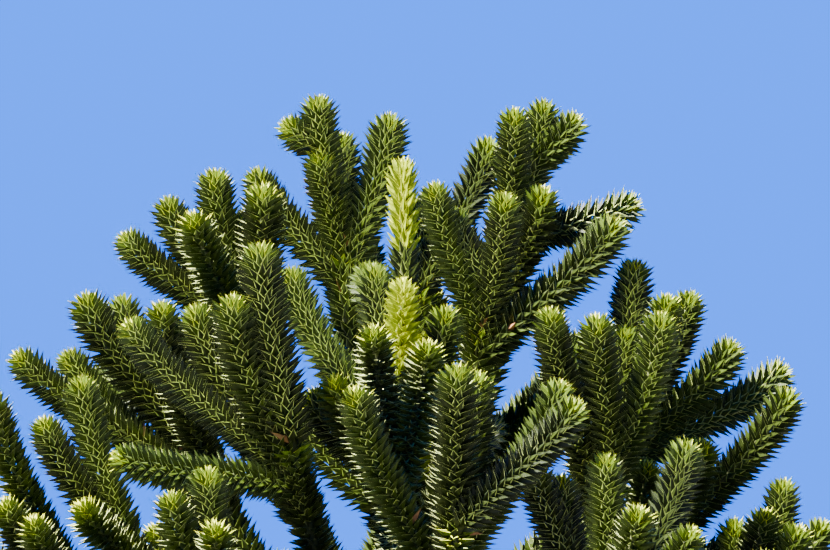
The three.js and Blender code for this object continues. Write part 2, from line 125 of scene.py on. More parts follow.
# Where the sky shows through the crown from there, in the plane of the trunk's axis:
# right, up, half width, half height.
SKY_GAPS = [
    (-200, 3495, 30, 15), (-160, 3300, 15, 25), (125, 3515, 15, 25), (240, 3450, 45, 30),
    (235, 3295, 40, 55), (-315, 3230, 70, 35), (-315, 3120, 50, 25), (-515, 3050, 35, 55),
    (-280, 2970, 40, 40), (-110, 3000, 40, 70), (205, 2990, 50, 50), (300, 3115, 15, 15),
    (650, 3050, 65, 40), (335, 3420, 25, 20), (590, 3355, 20, 25),
]

# The whorls below: name, height of the limb's foot, reach, height of the tips, count, first bearing,
# share of the way out at which a limb forks, bare share of a limb.
WHORLS = [
    ("whorl_5", 2090, 1010, 2710, 5, 20, 0.62, 0),
    ("whorl_4", 1740, 1110, 2290, 5, 56, 0.6, 0),
    ("whorl_3", 1390, 1140, 1860, 5, 12, 0.6, 0),
    ("whorl_2", 1080, 1060, 1420, 5, 48, 0.6, 0.45),
    ("whorl_1", 820, 880, 1010, 4, 15, 0.58, 0.45),
]
WHORL_SHOOTS = 5  # of each mass
WHORL_SAG = 60.0
WHORL_UPTURN = 36.0
FIRST_PAIR_SHARE = 0.93  # of the limb, where its first pair of shoots stands
WHORL_STAGGER = 0.21  # share of the limb between that pair and the next
PAIR_SPREAD = 40.0  # degrees off the limb's bearing
NEXT_PAIR_SPREAD = 7.0  # degrees more for the next pair
PAIR_RISE = 31.0  # degrees above level
PAIR_LENGTH = 0.86  # of a pair, as a share of the one before
BEARING_JITTER = 5.0  # degrees
REACH_JITTER = 0.05
FOOT_JITTER = 20.0
TIP_JITTER = 35.0
SPREAD_JITTER = 4.0  # degrees
RISE_JITTER = 7.0  # degrees

# Chances, as in the source, and what each is drawn for.
NUMBER_TURN = 12.9898
PURPOSE_TURN = 78.233
SCATTER = 43758.5453
FOR_BEARING, FOR_REACH, FOR_FOOT, FOR_TIP = 1, 2, 3, 4
FOR_RISE, FOR_SPREAD = 10, 20  # with the shoot's order added
FOR_LEAF_SPREAD, FOR_LEAF_SIZE, FOR_LEAF_PLACE, FOR_LEAF_TONE = 1, 2, 3, 4
FOR_TONE, FOR_GIRTH, FOR_TWIG = 31, 32, 41

# Finer twigs between the shoots of the solids.
TWIG_PITCH = 42.0  # between the places on a limb or shoot that are tried
TWIGS_FROM = 1.5 * TWIG_PITCH  # the foot of a limb or shoot to its first twig
TWIGS_UNTIL = 2.0 * TWIG_PITCH  # its last twig to its tip
TWIG_OPEN = 50.0  # degrees between a twig and what it grows from
TWIG_LENGTH = 235.0
TWIG_LENGTH_JITTER = 70.0
TWIG_SHARES = (1.0, 0.78)  # of that length, tried in turn until one has room
TWIG_POINTS = 8  # at which its room is tested
TWIG_HIDDEN_POINTS = 2  # of them, at its foot, that may show against the sky
TWIG_ROOT = 92.0  # length at its foot that needs no room
TWIG_ROOM = 63.0  # from its axis to any other
TWIG_UPTURN = 24.0
TWIG_INSET = 30.0  # how far inside its mass's reach it stays
FRONT_CLEAR = 70.0  # a finer twig that shows in the picture stands at least so far behind the trunk
DOME_TOP = 3615.0  # finer twigs stay below this height at the middle of the crown
DOME_FALL = 0.00059  # and lower at its sides, by so much for each square of the way out
PICTURE_FOOT = 2935.0  # what shows in the picture is above this
TWIG_GAP_MARGIN = 22.0
# Forks near the tips of shoots: mass, shoot, share along it, lean right, lean back, length.
TIP_FORKS = [
    ("top_left", 0, 0.68, -50, 0, 94),
    ("top_right", 2, 0.62, 38, -5, 135),
    ("inner_right", 1, 0.42, -24, 10, 175),
    ("inner_centre", 0, 0.75, -12, 30, 105),
    ("inner_centre", 6, 0.25, -38, 0, 205),
    ("front_right_low", 2, 0.45, -19, 0, 232),
    ("top_left", 0, 0.1, -12, -5, 190),
    ("left", 3, 0.3, -12, 14, 205),
]

# Leaves.
LEAF_TURN = math.radians(137.508)  # between two leaves round a shoot
UPPER_LEAF_STEP = 1.1  # between two leaves along a shoot of the upper crown
WHORL_LEAF_STEP = 1.6
LIMB_STEP_SHARE = 1.5  # the step on a limb, as a share of the one on its shoots
LEAF_LENGTH = 42.0
LEAF_HALF_WIDTH = 5.2
WHORL_LEAF_GROWTH = 1.08  # leaves of the whorls, as a share of the upper ones
LEAF_MARGIN_WITH_GLINT = 2.0  # width of the pale margin, drawn wider than the leaf's real rim: partly its own pale rim, partly a painted glint of its sunlit edge
LEAF_POINT = 3.5  # length of the pale point beyond the blade, in the margin's finish with its painted glint
POINT_CROSSING = 0.6  # by which the margins cross there
LEAF_KEEL = 7.0  # how far the sides of the blade are folded inwards
LEAF_WIDEST = 0.3  # where, as a share of its length
LEAF_MIDDLE = 0.45  # where the midrib bends, likewise
LEAF_CURVE = 3.0  # how far outwards it bends there
LEAF_SPREAD = 56.0  # degrees off the shoot's axis
LEAF_SPREAD_JITTER = 6.0  # degrees
LEAF_SIZE_JITTER = 0.08
GIRTH_JITTER = 0.06  # of the leaves of one shoot against another
LEAF_ROOT_SHARE = 0.9  # of the stem's radius, from which a leaf grows
TIP_GATHERING = 46.0  # leaves at the tip stand closer: over how many leaves
TIP_CLOSENESS = 0.4  # step at the very tip, as a share of the usual one
TIP_DOME = 14.0  # length along the axis over which the stem rounds off
TIP_CLOSING = (0.85, 14.0)  # of the spread at the very tip, and over which length
TIP_SHRINKING = (0.42, 12.0)  # of the leaves, likewise
TIP_HEIGHT = 17.0  # from the end of the stem to the end of the shoot
SEED_STRIDE = 977.0  # between the chances of one spray and the next
CURVE_STEPS = 64  # along a curve on which leaves are placed
FRAME_STEPS = 16  # along it for the directions across it
# Shoots with leaves larger or smaller than the others': mass, shoot, as a share of theirs.
LEAF_GROWTHS = {
    ("top_left", 0): 1.12, ("top_left", 1): 1.12,
    ("top_right", 0): 1.15, ("top_right", 3): 1.15,
    ("left", 0): 1.12, ("left", 3): 1.15, ("left_low", 0): 1.12,
    ("inner_centre", 2): 0.85, ("inner_right", 2): 1.12,
    ("right", 1): 1.1, ("right", 2): 1.12, ("right_low", 0): 1.12,
    ("front_left", 0): 1.22, ("front_left", 3): 1.15, ("front_left", 4): 1.15,
    ("front_centre", 1): 1.15, ("front_right_low", 4): 1.1,
}
NEW_SHOOTS = {("inner_centre", 2)}  # as bright as the leading shoot

# A leaf's corners are, in order: its foot and tip, its sides, the rims beyond them, the two ends of its point
# and the middle of its midrib.
BLADE_FACES = [(0, 8, 2), (0, 3, 8), (8, 1, 2), (8, 3, 1)]
MARGIN_FACES = [(2, 6, 4), (3, 5, 7)]
LEAF_FACES = len(BLADE_FACES) + len(MARGIN_FACES)
FULL_PIECE = 190000  # faces in one joined piece of leaves

# The leading shoot and the leaves on the trunk.
LEADER_LEAF = (43.0, 4.4, 38.0)  # length, half width, spread
LEADER_LEAF_STEP = 1.9
LEADER_BRIGHT = 165.0  # length of its bright end
LEADER_TIP_HEIGHT = 24.0  # from the end of its stem to its tip
LEADER_STEM_SHARE = 0.9  # of its curve that has a stem
LEADER_SEED = 7
TRUNK_LEAVES_FROM = 2150.0  # height above which the trunk still has its leaves
TRUNK_YOUNG_FROM = 3060.0  # height above which they are this year's
TRUNK_LEAF_STEP = 1.0
TRUNK_SEED = 3

# Tones of the leaves of a spray.
YOUNG_LENGTH = 46.0  # of the paler end of a shoot
YOUNG_SHARES = (1.0, 0.5, 0.2)  # of that length, for fresh, young and bud green
PALER_LUCK = 0.7  # above this, a leaf is one tone paler than its spray
DEAD_LUCK = -0.98  # below this, a leaf is dead
DEAD_FROM = 230.0  # where it also stands at least so far from the tip
TONE_RAGGEDNESS = 9.0  # by which one tone runs into the next
TONE_MIDDLE = 1.5  # a spray's own tone, cut to a whole number, is 0 to 2 above the deepest
TONE_SWING = 1.49

# Stems: their radii, and the sides and rings of their meshes.
STEM_RADIUS = 10.0
TIP_STEM_RADIUS = 4.0
LIMB_BARE_LENGTH = 60.0  # from the trunk's axis to a limb's first leaf
SHOOT_BARE_LENGTH = 10.0
LIMB_MESH = (7, 8)
SHOOT_MESH = (5, 4)
LEADER_MESH = (8, 6)
BOUGH_MESH = (20, 36)
TRUNK_MESH = (40, 330)

# Relief of the trunk's bark: rings that wander up and down, and the scars of old leaves.
RING_PITCH = 9.0
RING_DEPTH = 1.8
RING_LOBES, RING_WANDER = 3, 2.2  # round the trunk, and how far the rings wander on them
SWAY_PITCH, SWAY = 37.0, 1.5  # of the slower change up the trunk
SCAR_COUNTS = (13, 8)  # round the trunk, to the right and to the left
SCAR_PITCHES = (11.0, 14.0)
SCAR_DEPTH = 1.6
FULL_RELIEF_RADIUS = 60.0  # of the trunk, below which the relief gets lower
LEAST_RELIEF = 0.3

# Roughness and gloss of the finishes, and depth of their grain in metres.
LEAF_ROUGHNESS = 0.42
MARGIN_ROUGHNESS = 0.45
TWIG_ROUGHNESS = 0.8
BARK_ROUGHNESS = 0.85
FLOOR_ROUGHNESS = 0.9
LEAF_GLOSS = 0.15  # specular level
LEAF_GRAIN = 0.0006
BARK_GRAIN = 0.004
GRAINED_SHARE = 0.45  # of the bark's finer grain against its bands
LICHEN_SHARE = 0.45  # of the lichen's colour where it is thickest

# Floor, sky and sunlight.
FLOOR_RADIUS = 200.0  # metres
FLOOR_SIDES = 96
FLOOR_SHADE = "40403e"
SKY_COLOUR = (0.0, 0.42, 2.8, 1.0)
SUN_STRENGTH = 122.0
SUN_WIDTH = 4.0  # degrees
SUN_COLOUR = (1.0, 0.98, 0.93)
SUN_COURSE = (0.48, 0.26, -0.84)


def unit(vectors):
    return vectors / np.linalg.norm(vectors, axis=-1, keepdims=True)


def dots(one, other):
    return np.sum(one * other, axis=-1, keepdims=True)


def chance(number, purpose):
    """From -1 to 1, and the same each time for the same number of a mass, leaf or twig and purpose."""
    wave = np.sin(number * NUMBER_TURN + purpose * PURPOSE_TURN) * SCATTER
    return 2 * (wave - np.floor(wave)) - 1


def leaning(right, back):
    right, back = math.radians(right), math.radians(back)
    rest = math.cos(right)
    return np.array([math.sin(right), rest * math.sin(back), rest * math.cos(back)])


def heading(bearing, rise):
    bearing, rise = math.radians(bearing), math.radians(rise)
    level = math.cos(rise)
    return np.array([level * math.cos(bearing), level * math.sin(bearing), math.sin(rise)])


def lifted_by(direction, degrees):
    """The same direction, turned towards upright by so many degrees and no further."""
    from_upright = math.degrees(math.acos(max(-1.0, min(1.0, direction[2]))))
    share = min(degrees / max(from_upright, 1), LIFT_LIMIT)
    level = np.array([direction[0], direction[1], 0.0])
    if not level.any():
        return direction
    angle = math.radians(from_upright * (1 - share))
    return unit(level) * math.sin(angle) + UP * math.cos(angle)


def turned_by(vector, degrees):
    """A vector turned round the trunk."""
    angle = math.radians(degrees)
    right, back, up = vector
    return np.array([right * math.cos(angle) - back * math.sin(angle),
                     right * math.sin(angle) + back * math.cos(angle), up])


class Bend:
    """A smooth curve that leaves one point in one direction and reaches another in another direction."""

    def __init__(self, start, leave, end, arrive):
        third = np.linalg.norm(end - start) / 3
        self.corners = np.array([start, start + leave * third, end - arrive * third, end])

    def points(self, shares):
        t = np.asarray(shares, float)[:, None]
        a, b, c, d = self.corners
        return (1 - t) ** 3 * a + 3 * (1 - t) ** 2 * t * b + 3 * (1 - t) * t**2 * c + t**3 * d

    def tangents(self, shares):
        t = np.asarray(shares, float)[:, None]
        a, b, c = np.diff(self.corners, axis=0)
        return unit((1 - t) ** 2 * a + 2 * (1 - t) * t * b + t**2 * c)

    def point(self, share):
        return self.points([share])[0]

    def tangent(self, share):
        return self.tangents([share])[0]

    def lengths(self, steps=200):
        """How far along the curve each of its evenly spaced shares lies."""
        path = self.points(np.linspace(0, 1, steps + 1))
        return np.concatenate([[0], np.cumsum(np.linalg.norm(np.diff(path, axis=0), axis=1))])


def limb_curve(foot, fork, rise):
    out = unit(np.array([fork[0], fork[1], 0.0]))
    leave = out * math.cos(math.radians(rise)) + UP * math.sin(math.radians(rise))
    return Bend(foot, leave, fork, lifted_by(unit(fork - foot), UPTURN))


def shoot_from(limb, share, tip, upturn):
    start = limb.point(share)
    course = unit(tip - start)
    return Bend(start, unit(limb.tangent(share) * LEAVE_SHARE + course), tip, lifted_by(course, upturn))


def samples(curve):
    count = max(2, math.floor(curve.lengths()[-1] / SAMPLE_STEP + 0.5))
    return curve.points(np.linspace(0, 1, count + 1))


def share_of(order, first_pair, stagger):
    """Where on its limb a shoot stands: the first at the fork, the others in pairs behind it."""
    return first_pair - stagger * (math.ceil(order / 2) - 1) if order else 1


def upper_masses():
    masses = []
    for name, foot, fork, turned, shoots in UPPER_MASSES:
        for turn in (0, turned) if turned else (0,):
            here = turned_by(np.array(fork, float), turn)
            limb = limb_curve(UP * foot, here, UPPER_LIMB_RISE)
            swings = COPY_SWINGS if turn else (0,)
            tips = [[here + turned_by(leaning(right + swing, back), turn) * length for swing in swings]
                    for right, back, length in shoots]
            shares = [share_of(order, 1 - UPPER_STAGGER, UPPER_STAGGER) for order in range(len(tips))]
            if turn:
                name = name.replace("inner", "inner_back").replace("front", "back")
            masses.append({"name": name, "limb": limb, "tips": tips, "shares": shares, "upturn": UPTURN,
                           "bare": 0, "copy": turn > 0})
    return masses


def whorl_masses():
    masses = []
    number = 0
    for whorl, whorl_foot, whorl_reach, tip_height, count, first, fork_share, bare in WHORLS:
        for i in range(count):
            number += 1
            bearing = first + 360 * i / count + BEARING_JITTER * chance(number, FOR_BEARING)
            reach = whorl_reach * (1 + REACH_JITTER * (chance(number, FOR_REACH) - 1) / 2)
            foot = UP * (whorl_foot + FOOT_JITTER * chance(number, FOR_FOOT))
            end = heading(bearing, 0) * reach
            end[2] = tip_height + TIP_JITTER * chance(number, FOR_TIP)
            fork = foot + (end - foot) * fork_share - UP * WHORL_SAG
            limb = limb_curve(foot, fork, WHORL_LIMB_RISE)
            tips, shares = [[end]], [1]
            for order in range(1, WHORL_SHOOTS):
                pair = math.ceil(order / 2)
                side = 1 if order % 2 else -1
                spread = PAIR_SPREAD + NEXT_PAIR_SPREAD * (pair - 1)
                spread += SPREAD_JITTER * chance(number, FOR_SPREAD + order)
                rise = PAIR_RISE + RISE_JITTER * chance(number, FOR_RISE + order)
                length = np.linalg.norm(fork - end) * PAIR_LENGTH**pair
                shares.append(share_of(order, FIRST_PAIR_SHARE, WHORL_STAGGER))
                tips.append([limb.point(shares[order]) + heading(bearing + side * spread, rise) * length])
            masses.append({"name": f"{whorl}_{'abcde'[i]}", "limb": limb, "tips": tips, "shares": shares,
                           "upturn": WHORL_UPTURN, "bare": bare, "copy": False})
    return masses


def nearest(points, others):
    """The shortest distance between two sets of points."""
    if not len(points) or not len(others):
        return math.inf
    gaps = points[:, None, :] - others[None, :, :]
    return math.sqrt(np.min(np.sum(gaps * gaps, axis=2)))


def clear_shoots(masses, leader):
    """Picks the shoots of every mass that stay clear of the other masses and of their own siblings."""
    limbs = [samples(mass["limb"]) for mass in masses]
    claimed = [[] for _ in masses]
    leader_points = samples(leader)
    for at, mass in enumerate(masses):
        mass["shoots"], mass["twigs"] = [], []
        strangers = [leader_points] + [c for other, cs in enumerate(claimed) if other != at for c in cs]
        strangers = np.concatenate(strangers)
        other_limbs = np.concatenate([limb for other, limb in enumerate(limbs) if other != at])
        for places, share in zip(mass["tips"], mass["shares"]):
            for tip in places:
                shoot = shoot_from(mass["limb"], share, tip, mass["upturn"])
                points = samples(shoot)
                from_start = np.linalg.norm(points - points[0], axis=1)
                outer = points[from_start >= FORK_ZONE]
                siblings = np.concatenate(claimed[at]) if claimed[at] else []
                if nearest(points, strangers) < 2 * LEAF_TIP_RADIUS + SHOOT_CLEARANCE:
                    continue
                if nearest(points, other_limbs) < LEAF_TIP_RADIUS + LIMB_LEAF_RADIUS + SHOOT_CLEARANCE:
                    continue
                if nearest(outer, siblings) < 2 * LEAF_TIP_RADIUS + SIBLING_CLEARANCE:
                    continue
                if mass["copy"] and shows_in_gap(points[from_start >= GAP_ZONE], GAP_MARGIN):
                    continue
                claimed[at].append(points)
                mass["shoots"].append((share, shoot))
                break


def seen_from_front(points):
    """How far to the right and how high points show, in the plane of the trunk's axis."""
    share = -EYE[1] / (points[:, 1] - EYE[1])
    return (EYE + (points - EYE) * share[:, None])[:, [0, 2]].T


def shows_in_gap(points, margin):
    right, up = seen_from_front(points)
    return any(np.any(((right - x) / (wide + margin)) ** 2 + ((up - z) / (high + margin)) ** 2 < 1)
               for x, z, wide, high in SKY_GAPS)


def leaves_sky_open(points):
    """True if a twig through these points shows in no gap of the crown, not above it and not before it."""
    right, up = seen_from_front(points)
    if np.any(up > DOME_TOP - DOME_FALL * right**2):
        return False
    if np.any((up > PICTURE_FOOT) & (points[:, 1] < FRONT_CLEAR)):
        return False
    return not shows_in_gap(points, TWIG_GAP_MARGIN)


def tip_forks(masses):
    """Short forks near the tips of some shoots."""
    by_name = {mass["name"]: mass for mass in masses}
    for name, order, share, right, back, length in TIP_FORKS:
        mass = by_name[name]
        _, shoot = mass["shoots"][order]
        tip = shoot.point(share) + leaning(right, back) * length
        mass["twigs"].append(shoot_from(shoot, share, tip, TWIG_UPTURN))


def twig_course(parent, share, number):
    """The way a finer twig leaves its parent, turned further round it with each number."""
    _, (tangent,), (across,), (side,) = frames(parent, [share])
    turn = number * LEAF_TURN
    out = across * math.cos(turn) + side * math.sin(turn)
    opening = math.radians(TWIG_OPEN)
    return tangent * math.cos(opening) + out * math.sin(opening)


def finer_twigs(masses, leader):
    """Twigs on the limbs and shoots of every mass, wherever there is room and the sky isn't to show."""
    axes = [leader] + [mass["limb"] for mass in masses] + [c for mass in masses for _, c in mass["shoots"]]
    taken = np.concatenate([samples(axis) for axis in axes + [c for mass in masses for c in mass["twigs"]]])
    number = 0
    for mass in masses:
        ends = np.array([curve.point(1) for _, curve in mass["shoots"]])
        reach_out = np.linalg.norm(ends[:, :2], axis=1).max() - TWIG_INSET
        reach_up = ends[:, 2].max() - TWIG_INSET
        for parent in [mass["limb"]] + [curve for _, curve in mass["shoots"]]:
            length = parent.lengths()[-1]
            for place in np.arange(TWIGS_FROM, length - TWIGS_UNTIL, TWIG_PITCH):
                number += 1
                share = place / length
                course = twig_course(parent, share, number)
                if course[2] < 0:
                    continue
                course = lifted_by(course, TWIG_UPTURN / 2)
                want = TWIG_LENGTH + TWIG_LENGTH_JITTER * chance(number, FOR_TWIG)
                for part in TWIG_SHARES:
                    twig = shoot_from(parent, share, parent.point(share) + course * want * part, TWIG_UPTURN)
                    points = twig.points(np.linspace(0, 1, TWIG_POINTS))
                    far = points[np.linalg.norm(points - points[0], axis=1) > TWIG_ROOT]
                    if not len(far) or np.linalg.norm(far[:, :2], axis=1).max() > reach_out:
                        continue
                    if far[:, 2].max() > reach_up or nearest(far, taken) < TWIG_ROOM:
                        continue
                    if not leaves_sky_open(points[TWIG_HIDDEN_POINTS:]):
                        continue
                    mass["twigs"].append(twig)
                    taken = np.concatenate([taken, samples(twig)])
                    break


def trunk_radius(height):
    taper = TRUNK_FOOT_RADIUS + (TRUNK_TOP_RADIUS - TRUNK_FOOT_RADIUS) * height / TRUNK_TOP
    flare = np.maximum(0, 1 - height / FLARE_HEIGHT) ** 2
    return taper + (FLARE_RADIUS - TRUNK_FOOT_RADIUS) * flare


def limb_foot_radius(limb):
    return LIMB_FOOT_SHARE * trunk_radius(limb.point(0)[2])


def frames(curve, shares):
    """At shares of a curve: its points, its directions and two directions across it that don't spin."""
    points, tangents = curve.points(shares), curve.tangents(shares)
    across = np.empty_like(points)
    last = np.cross(tangents[0], ASLANT)
    for i, tangent in enumerate(tangents):
        last = unit(last - tangent * last.dot(tangent))
        across[i] = last
    return points, tangents, across, np.cross(tangents, across)


def leaf_places(length, step, tipped):
    """How far from the end of a stem each of its leaves stands. At a growing tip they stand closer."""
    gathering = TIP_GATHERING if tipped else 0
    order = np.arange(int(length / step + gathering * (1 - TIP_CLOSENESS)) + 1)
    back = step * order * (order + TIP_CLOSENESS * gathering) / np.maximum(order + gathering, 1)
    return back[back < length]


def fading(effect, back):
    """An effect that is full at the very tip and fades away behind it."""
    amount, length = effect
    return amount * np.exp(-back / length)


class Spray:
    """The leaves of one shoot or limb: where each stands, which way it points and what it is like."""

    def __init__(self, curve, begin, stop, tipped, stem, step, leaf, seed, finish):
        """Leaves along a curve from one length to another. A tipped spray ends in a growing tip."""
        back = leaf_places(stop - begin, step, tipped)
        order = np.arange(len(back))
        along = stop - back
        self.stand(curve, along, order * LEAF_TURN + seed)
        number = order + SEED_STRIDE * seed
        length, half_width, spread = leaf
        closing = fading(TIP_CLOSING, back) if tipped else 0.0
        shrinking = fading(TIP_SHRINKING, back) if tipped else 0.0
        self.spread = spread * (1 - closing) + LEAF_SPREAD_JITTER * chance(number, FOR_LEAF_SPREAD)
        self.length = length * (1 - shrinking) * (1 + LEAF_SIZE_JITTER * chance(number, FOR_LEAF_SIZE))
        self.half_width = half_width * self.length / length
        radius = stem[0] + (stem[1] - stem[0]) * (along - begin) / max(stop - begin, 1)
        dome = np.sqrt(1 - np.maximum(0, 1 - back / TIP_DOME) ** 2) if tipped else 1.0
        self.root = radius * dome
        ragged = back + TONE_RAGGEDNESS * chance(number, FOR_LEAF_PLACE)
        self.kind = finish(ragged, chance(number, FOR_LEAF_TONE))

    def stand(self, curve, along, turn):
        """Puts each leaf at its length along the curve, turned round it by its own angle."""
        at = np.interp(along, curve.lengths(CURVE_STEPS), np.linspace(0, 1, CURVE_STEPS + 1))
        stations = np.linspace(0, 1, FRAME_STEPS + 1)
        across = frames(curve, stations)[2]
        across = np.stack([np.interp(at, stations, across[:, k]) for k in range(3)], axis=1)
        self.points, self.tangents = curve.points(at), curve.tangents(at)
        across = unit(across - self.tangents * dots(across, self.tangents))
        side = np.cross(self.tangents, across)
        self.out = across * np.cos(turn)[:, None] + side * np.sin(turn)[:, None]


def leaf_arrays(sprays):
    """Vertices and faces of all the leaves of some sprays, with each face's finish."""

    def gathered(*keys):
        return [np.concatenate([getattr(spray, key) for spray in sprays]) for key in keys]

    points, along, out = gathered("points", "tangents", "out")
    measures = gathered("spread", "length", "half_width", "root")
    spread, length, half_width, root = [measure[:, None] for measure in measures]
    (kind,) = gathered("kind")
    spread = np.radians(spread)
    aside = np.cross(along, out)
    course = along * np.cos(spread) + out * np.sin(spread)
    outward = out * np.cos(spread) - along * np.sin(spread)
    foot = points + out * root * LEAF_ROOT_SHARE
    tip = foot + course * length
    wide = foot + course * length * LEAF_WIDEST - outward * LEAF_KEEL
    middle = foot + course * length * LEAF_MIDDLE + outward * LEAF_CURVE
    half, rim, crossing = aside * half_width, aside * LEAF_MARGIN_WITH_GLINT, aside * POINT_CROSSING
    point = tip + course * LEAF_POINT
    corners = [foot, tip, wide + half, wide - half, wide + half + rim, wide - half - rim,
               point - crossing, point + crossing, middle]
    vertices = np.stack(corners, axis=1).reshape(-1, 3)
    first_corners = np.arange(len(points))[:, None, None] * len(corners)
    faces = first_corners + np.array(BLADE_FACES + MARGIN_FACES)[None]
    kinds = np.stack([kind] * len(BLADE_FACES) + [MARGIN_OF[kind]] * len(MARGIN_FACES), axis=1)
    return vertices, faces.reshape(-1, 3), kinds.reshape(-1)


def tube_arrays(curve, start, end, radii, mesh):
    """A tapering stem along part of a curve, closed at both ends."""
    sides, rings = mesh
    shares = np.linspace(start, end, rings)
    points, _, across, side = frames(curve, shares)
    turn = np.arange(sides) * 2 * math.pi / sides
    radius = np.linspace(radii[0], radii[1], rings)[:, None, None]
    ring = across[:, None] * np.cos(turn)[None, :, None] + side[:, None] * np.sin(turn)[None, :, None]
    vertices = (points[:, None] + ring * radius).reshape(-1, 3)
    return closed_skin(vertices, rings, sides, curve.point(end))


def closed_skin(vertices, rings, sides, end):
    """Faces over rings of points, with both ends closed by fans."""
    k = np.arange(sides)
    low = np.arange(rings - 1)[:, None] * sides
    a, b = low + k, low + (k + 1) % sides
    walls = [np.stack([a, b, b + sides], axis=2), np.stack([a, b + sides, a + sides], axis=2)]
    walls = np.stack(walls, axis=2).reshape(-1, 3)
    last = (rings - 1) * sides
    middle = len(vertices)
    top = np.stack([last + k, last + (k + 1) % sides, np.full(sides, middle)], axis=1)
    bottom = np.stack([(k + 1) % sides, k, np.full(sides, middle + 1)], axis=1)
    vertices = np.concatenate([vertices, [end], [vertices[:sides].mean(axis=0)]])
    return vertices, np.concatenate([walls, top, bottom])


def joined(parts):
    """Several meshes as one."""
    offset, vertices, faces = 0, [], []
    for part_vertices, part_faces in parts:
        vertices.append(part_vertices)
        faces.append(part_faces + offset)
        offset += len(part_vertices)
    return np.concatenate(vertices), np.concatenate(faces)


def add_piece(name, vertices, faces, materials, slot, kinds=None, smooth=False, replaced=()):
    """Adds a mesh to the scene. Kinds deals the materials to its faces."""
    mesh = bpy.data.meshes.new(name)
    mesh.vertices.add(len(vertices))
    mesh.vertices.foreach_set("co", (vertices * METRES).astype(np.float32).ravel())
    mesh.loops.add(faces.size)
    mesh.loops.foreach_set("vertex_index", faces.astype(np.int32).ravel())
    mesh.polygons.add(len(faces))
    mesh.polygons.foreach_set("loop_start", np.arange(0, faces.size, 3, dtype=np.int32))
    for material in materials:
        mesh.materials.append(material)
    if kinds is not None:
        mesh.polygons.foreach_set("material_index", kinds.astype(np.int32))
    mesh.polygons.foreach_set("use_smooth", np.full(len(faces), smooth))
    mesh.update(calc_edges=True)
    mesh.validate()
    thing = bpy.data.objects.new(name, mesh)
    bpy.context.scene.collection.objects.link(thing)
    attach(thing, "root")
    if replaced:
        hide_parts(*replaced)


def colour(code):
    """A colour given as on screen, in the linear values that shaders take."""
    parts = [int(code[i : i + 2], 16) / 255 for i in (0, 2, 4)]
    return (*[c / 12.92 if c <= 0.04045 else ((c + 0.055) / 1.055) ** 2.4 for c in parts], 1.0)


class Field:
    """A number or colour that varies over a surface. Sums and products of fields add the nodes for them."""

    def __init__(self, finish, socket):
        self.finish, self.socket = finish, socket

    def maths(self, operation, first, second):
        return self.finish.node("ShaderNodeMath", {"operation": operation}, {0: first, 1: second})

    def __add__(self, other):
        return self.maths("ADD", self, other)

    def __mul__(self, other):
        return self.maths("MULTIPLY", self, other)

    __radd__, __rmul__ = __add__, __mul__


class Finish:
    """A material in the making."""

    def __init__(self, name, roughness, **uniform):
        self.material = bpy.data.materials.new(name)
        self.material.use_nodes = True
        self.nodes = self.material.node_tree.nodes
        self.links = self.material.node_tree.links
        self.surface = self.nodes["Principled BSDF"]
        self.surface.inputs["Roughness"].default_value = roughness
        for socket, value in uniform.items():
            self.surface.inputs[socket.replace("_", " ").title().replace("Ior", "IOR")].default_value = value

    def node(self, kind, settings=(), sockets=(), output=0):
        """Adds a node: its settings first, then the values or links of its sockets."""
        node = self.nodes.new(kind)
        for setting, value in dict(settings).items():
            if setting == "stops":
                self.set_stops(node.color_ramp, value)
            else:
                setattr(node, setting, value)
        for socket, value in dict(sockets).items():
            self.feed(node.inputs[socket], value)
        return Field(self, node.outputs[output])

    def set_stops(self, ramp, stops):
        for i, (place, shade) in enumerate(stops):
            stop = ramp.elements[i] if i < 2 else ramp.elements.new(place)
            stop.position, stop.color = place, shade

    def feed(self, socket, value):
        if isinstance(value, Field):
            self.links.new(value.socket, socket)
        else:
            socket.default_value = value

    def place(self, stretch=(1, 1, 1)):
        """The place on the object, in metres, stretched."""
        here = self.node("ShaderNodeTexCoord", output="Object")
        return self.node("ShaderNodeVectorMath", {"operation": "MULTIPLY"}, {0: here, 1: stretch})

    def noise(self, scale, detail, stretch=(1, 1, 1)):
        sockets = {"Vector": self.place(stretch), "Scale": scale, "Detail": detail}
        return self.node("ShaderNodeTexNoise", (), sockets)

    def mix(self, mask, first, second):
        settings = {"data_type": "RGBA"}
        return self.node("ShaderNodeMix", settings, {0: mask, 6: first, 7: second}, 2)

    def paint(self, shade):
        self.feed(self.surface.inputs["Base Color"], shade)

    def relief(self, height, depth):
        sockets = {"Height": height, "Distance": depth, "Strength": 1.0}
        self.feed(self.surface.inputs["Normal"], self.node("ShaderNodeBump", (), sockets))


def leaf_finish(name, deep, light, roughness=LEAF_ROUGHNESS):
    """A leathery leaf: a mottle between two greens, and a fine grain."""
    finish = Finish(name, roughness, specular_ior_level=LEAF_GLOSS)
    finish.paint(finish.mix(finish.noise(scale=90.0, detail=3.0), colour(deep), colour(light)))
    finish.relief(finish.noise(scale=700.0, detail=1.0), LEAF_GRAIN)
    return finish.material


def plain_finish(name, shade, roughness):
    finish = Finish(name, roughness, specular_ior_level=LEAF_GLOSS)
    finish.paint(colour(shade))
    return finish.material


